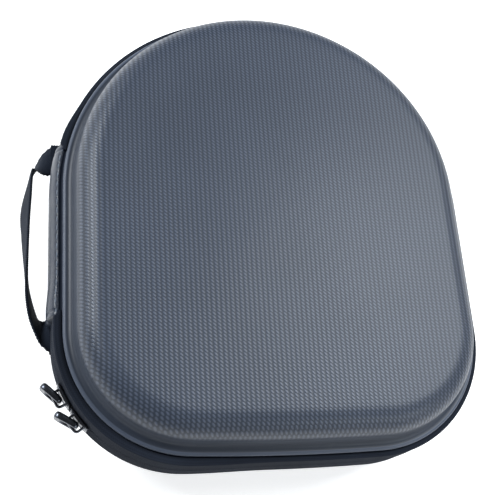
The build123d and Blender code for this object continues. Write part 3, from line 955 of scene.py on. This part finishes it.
def chunky_pull(letter):
    """A pull cast in one: a thin bar that turns in the bridge, two arms round an oval eye, and a thick
    rounded grip with a shallow dish on its face."""
    pivot, back, up, out, _ = slider_axes(letter)
    tilt = bpy.context.scene.case_sizes.pull_tilt
    x_axis = back * cos(tilt) + out * sin(tilt)
    z_axis = out * cos(tilt) - back * sin(tilt)
    eye_x, heel, tip, half_wide = 4.2 * MM, 5.0 * MM, 7.2 * MM, 4.2 * MM
    rows = []
    for t in spread(0, 2 * pi, 72)[:-1]:
        far = tip if cos(t) > 0 else heel
        outer = superellipse(far, half_wide, 4.2, t)
        inner = superellipse(3.3 * MM, 1.95 * MM, 2.4, t)
        grip = smooth(0.2, 0.9, cos(t))
        thin = smooth(0.75, 0.98, -cos(t))
        thick = (1.6 + 0.2 * grip - 0.6 * thin) * MM
        middle, half_span = (outer + inner) / 2, (outer - inner) / 2
        ring = []
        for k in spread(0, 2 * pi, 20)[:-1]:
            u = squared(cos(k), 0.62)
            v = squared(sin(k), 0.62)
            dish = 1 - 0.16 * grip * exp(-((u - 0.1) / 0.45) ** 2)
            reach = middle + half_span * u
            ring.append(pivot + x_axis * (eye_x + reach * cos(t)) + up * (reach * sin(t))
                        + z_axis * (thick * v * dish))
        rows.append(ring)
    return loft(rows, closed_rows=True, closed_path=True)


def build_sliders():
    for letter in ("a", "b"):
        body = f"slider_{letter}"
        for name, bm, rides, replaced, crease in (
                ("casting", beveled_copy(f"{body}_body", 0.22 * MM), body, [f"{body}_body"], 40),
                ("crown", slider_crown(letter), body, (), 60),
                ("arch", arched_bridge(letter), body, [f"{body}_bridge"], 60),
                ("grip", chunky_pull(letter), f"pull_{letter}", [f"{body}_pull"], 60)):
            piece(f"{body}_{name}", bm, rides, dark_nickel_plate, replaced, crease)


# ---- pocket
def build_pocket():
    """A net pocket across the narrow end of the lid, bound round its edge, with an elastic mouth."""
    route = outline()
    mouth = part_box("pocket_net")[1].y
    rim_low, rim_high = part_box("pocket_binding")
    rim_offset, z = -24.8 * MM, (rim_low.z + rim_high.z) / 2
    middle_s = route.total - route.runs[5][0] - route.runs[4][0] / 2
    start = route.left(min(mouth, route.round_y))
    left = along(start, middle_s, 2.5 * MM)
    mirrored = [2 * middle_s - s for s in reversed(left)]
    straight = [Vector((route.point(start, rim_offset, z).x, mouth - 1 * MM * i, z)) for i in range(8)]
    path = straight + [route.point(s, rim_offset, z) for s in left]
    path += [route.point(s, rim_offset, z) for s in mirrored[1:]]
    path += [Vector((-p.x, p.y, z)) for p in reversed(straight)]
    rows = []
    for i, at in enumerate(path):
        run = (path[min(i + 1, len(path) - 1)] - path[max(i - 1, 0)]).normalized()
        side = Vector((run.y, -run.x, 0))
        rows.append(oval_ring(at, side, Vector((0, 0, 1)), 1.8 * MM, 0.8 * MM, 3, 16))
    piece("pocket_edge", loft(rows, closed_rows=True), "lid", grosgrain_binding,
          ["pocket_binding"], 70)
    half_path = path[:len(straight) + len(left)]
    sag = 1.4 * MM
    rows = []
    for point in half_path:
        row = []
        for t in spread(0, 1, 40):
            x = point.x * (1 - 2 * t)
            dip = sag * (4 * t * (1 - t)) * smooth(-0.09, 0.02, point.y)
            row.append(Vector((x, point.y, z - dip)))
        rows.append(row)
    bm = loft(rows)
    bmesh.ops.solidify(bm, geom=bm.faces[:], thickness=0.4 * MM)
    bmesh.ops.recalc_face_normals(bm, faces=bm.faces)
    net = piece("pocket_mesh", bm, "lid", knitted_net, ["pocket_net"], 80)
    low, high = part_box("pocket_elastic")
    rows = []
    for t in spread(0, 1, 150):
        x = low.x + (high.x - low.x) * t
        dip = sag * 4 * t * (1 - t)
        gather = 0.18 * MM * sin(2 * pi * x / (2.3 * MM))
        ring = []
        for k in spread(0, 2 * pi, 20)[:-1]:
            r = superellipse((high.y - low.y) / 2, 0.85 * MM, 4, k)
            ring.append(Vector((x, (low.y + high.y) / 2 + r * cos(k),
                                z - dip + r * sin(k) + gather * sin(k) ** 2)))
        rows.append(ring)
    piece("pocket_hem", loft(rows, closed_rows=True), "lid", grosgrain_binding,
          ["pocket_elastic"], 80)


# ---- stage
def area_light(name, at, towards, wide, tall, watts, colour):
    """A softbox at a point, facing another point."""
    data = bpy.data.lights.new(name, "AREA")
    data.shape, data.size, data.size_y, data.energy, data.color = "RECTANGLE", wide, tall, watts, colour
    lamp = bpy.data.objects.new(name, data)
    lamp.location = at
    lamp.rotation_euler = (Vector(towards) - Vector(at)).to_track_quat("-Z", "Y").to_euler()
    bpy.context.scene.collection.objects.link(lamp)


def build_stage():
    floor_radius, floor_gap = 6.0, 0.3 * MM
    bm = bmesh.new()
    bmesh.ops.create_circle(bm, cap_ends=True, segments=64, radius=floor_radius)
    bmesh.ops.translate(bm, verts=bm.verts, vec=(0, 0, -floor_gap))
    mesh = bpy.data.meshes.new("studio_floor")
    bm.to_mesh(mesh)
    bm.free()
    mesh.materials.append(finish(backlit_paper))
    floor_piece = bpy.data.objects.new("studio_floor", mesh)
    bpy.context.scene.collection.objects.link(floor_piece)
    world = bpy.data.worlds.new("soft_room")
    world.use_nodes = True
    background = world.node_tree.nodes["Background"]
    connect(world.node_tree, background, {"Color": (1, 1, 1, 1), "Strength": 0.16})
    bpy.context.scene.world = world
    area_light("key", (0.5, 0.2, 0.87), (0, 0, 0.05), 0.5, 0.4, 10.5, (0.93, 0.97, 1))
    area_light("rim", (0.5, -0.65, 0.45), (0.05, -0.05, 0.05), 0.5, 0.25, 2.5, (0.9, 0.96, 1))
    area_light("fill", (-0.74, 0.36, 0.58), (0, 0, 0.05), 0.45, 0.22, 9.5, (0.93, 0.97, 1))
    bpy.context.scene.view_settings.view_transform = "Standard"
    build_camera()


def build_camera():
    """A long lens above the spine's front end, turned so that the case's long side stands upright."""
    azimuth, elevation, roll = radians(-35.81), radians(63.81), radians(34.53)
    back = Vector((sin(azimuth) * cos(elevation), -cos(azimuth) * cos(elevation), sin(elevation)))
    right = Vector((cos(azimuth), sin(azimuth), 0))
    up = back.cross(right)
    rolled_right = right * cos(roll) + up * sin(roll)
    rolled_up = up * cos(roll) - right * sin(roll)
    data = bpy.data.cameras.new("camera")
    data.sensor_fit, data.sensor_width, data.lens = "HORIZONTAL", 36, 66.8
    data.clip_start = 0.01
    camera = bpy.data.objects.new("camera", data)
    matrix = Matrix((rolled_right, rolled_up, back)).transposed().to_4x4()
    matrix.translation = (-130.6 * MM, -179.6 * MM, 464.44 * MM)
    camera.matrix_world = matrix
    bpy.context.scene.collection.objects.link(camera)
    bpy.context.scene.camera = camera


# ---- operators and panel
def step(build, label, description):
    """The operator that runs one builder."""
    def execute(self, context):
        build()
        return {"FINISHED"}

    name = build.__name__.removeprefix("build_")
    return type(f"CASE_OT_{name}", (bpy.types.Operator,),
                {"__doc__": description, "bl_idname": f"case.{name}", "bl_label": label, "execute": execute})


OPERATORS = (
    step(build_skins, "Shells", "Builds the two embossed shells"),
    step(build_linings, "Linings", "Builds the velour linings"),
    step(build_tapes, "Zip tapes", "Builds the woven zip tapes that form the band"),
    step(build_coils, "Zip coils", "Winds the two zip coils"),
    step(build_bindings, "Bindings", "Builds the bindings round the inside and their stitches"),
    step(build_spine, "Spine", "Builds the padded spine, its lining and its stitches"),
    step(build_handle, "Handle", "Builds the webbing handle"),
    step(build_sliders, "Sliders", "Builds the zip sliders, their bridges and their pulls"),
    step(build_pocket, "Pocket", "Builds the net pocket inside the lid"),
    step(build_stage, "Stage", "Sets the floor, the lights and the camera"),
)


class CASE_PT_panel(bpy.types.Panel):
    """Lists the case's pieces in the sidebar"""
    bl_idname = "CASE_PT_panel"
    bl_label = "Headphone case"
    bl_space_type = "VIEW_3D"
    bl_region_type = "UI"
    bl_category = "Headphone case"

    def draw(self, context):
        for operator in OPERATORS:
            self.layout.operator(operator.bl_idname)
        for group in (context.scene.case_sizes, context.scene.case_colours):
            for name in group.bl_rna.properties.keys():
                if name not in ("rna_type", "name"):
                    self.layout.prop(group, name)


CLASSES = (CaseSizes, CaseColours, *OPERATORS, CASE_PT_panel)


def register():
    for cls in CLASSES:
        bpy.utils.register_class(cls)
    bpy.types.Scene.case_sizes = PointerProperty(type=CaseSizes)
    bpy.types.Scene.case_colours = PointerProperty(type=CaseColours)


def unregister():
    del bpy.types.Scene.case_colours
    del bpy.types.Scene.case_sizes
    for cls in reversed(CLASSES):
        bpy.utils.unregister_class(cls)


def main():
    register()
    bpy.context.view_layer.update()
    bpy.ops.case.skins()
    bpy.ops.case.linings()
    bpy.ops.case.tapes()
    bpy.ops.case.coils()
    bpy.ops.case.bindings()
    bpy.ops.case.spine()
    bpy.ops.case.handle()
    bpy.ops.case.sliders()
    bpy.ops.case.pocket()
    bpy.ops.case.stage()


if __name__ == "__main__":
    main()
